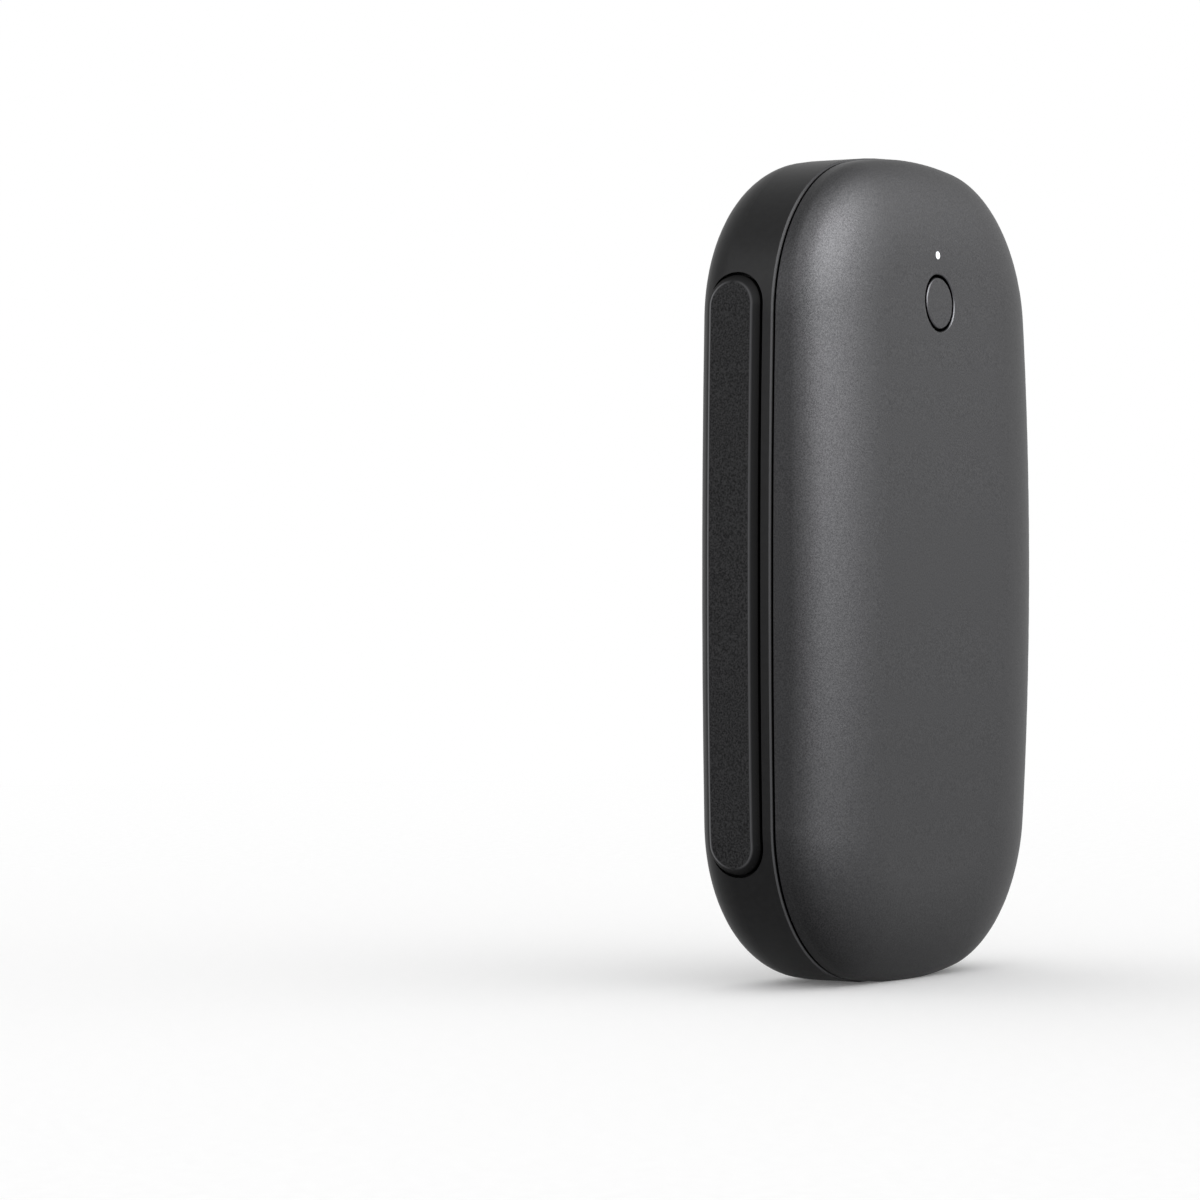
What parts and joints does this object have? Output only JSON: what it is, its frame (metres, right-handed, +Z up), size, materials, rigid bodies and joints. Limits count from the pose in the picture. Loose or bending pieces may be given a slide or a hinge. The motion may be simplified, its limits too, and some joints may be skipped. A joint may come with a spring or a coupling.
{
  "type": "rechargeable hand warmer",
  "caption": "Pocket hand warmer: upright round slab with a crowned metal front, matt black rear housing, side grip pads, flush press button under a status light and a charging port in the foot.",
  "frame": {"origin": "on the standing surface, under the middle of the body's bounding box", "axes": "+Z up along the height, +X to the right seen from the front, +Y from the crowned front to the back"},
  "size_m": [0.0636, 0.0216, 0.11],
  "materials": {
    "graphite_aluminium": "bead-blasted, anodised graphite, satin",
    "black_housing": "moulded, fine matt texture",
    "black_rubber": "moulded, fine pebbled grain",
    "seal_rubber": "plain moulded gasket",
    "light_guide": "milky polycarbonate, lit white",
    "led_package": "clear cast package",
    "frame_plastic": "moulded grey",
    "steel": "plated",
    "battery_pouch": "laminated foil pouch",
    "adhesive_tape": "double-sided tape",
    "board_laminate": "green solder mask",
    "wire_red": "insulated wire",
    "wire_black": "insulated wire",
    "connector_nylon": "moulded nylon",
    "switch_plastic": "moulded",
    "chip_resin": "moulded resin package",
    "component_ceramic": "sintered",
    "heater_film": "amber polyimide film",
    "foam": "closed-cell foam",
    "port_insulator": "moulded"
  },
  "bodies": {
    "body": {"front_shell": "graphite_aluminium", "rear_housing": "black_housing", "perimeter_seal": "seal_rubber", "side_grip_left": "black_rubber", "side_grip_right": "black_rubber", "light_guide": "light_guide", "status_led": "led_package", "inner_frame": "frame_plastic", "frame_screws": "steel", "battery_cell": "battery_pouch", "battery_tape": "adhesive_tape", "protection_board": "board_laminate", "battery_lead_positive": "wire_red", "battery_lead_negative": "wire_black", "battery_connector": "connector_nylon", "main_board": "board_laminate", "switch_body": "switch_plastic", "switch_dome": "steel", "controller_chip": "chip_resin", "charger_chip": "chip_resin", "power_inductor": "component_ceramic", "capacitors": "component_ceramic", "heater_connectors": "connector_nylon", "front_heater_film": "heater_film", "thermistor": "component_ceramic", "front_foam": "foam", "rear_heater_film": "heater_film", "rear_foam": "foam", "usb_shell": "steel", "usb_tongue": "port_insulator"},
    "button": {"power_button": "graphite_aluminium", "switch_plunger": "switch_plastic"}
  },
  "joints": [
    {"name": "button_press", "type": "slide", "parent": "body", "child": "button", "axis": [0, 1, 0], "range_m": [0, 0.0003], "stiffness_N_per_m": 5000, "springref_m": -0.00005, "deforming": ["switch_dome"]}
  ]
}
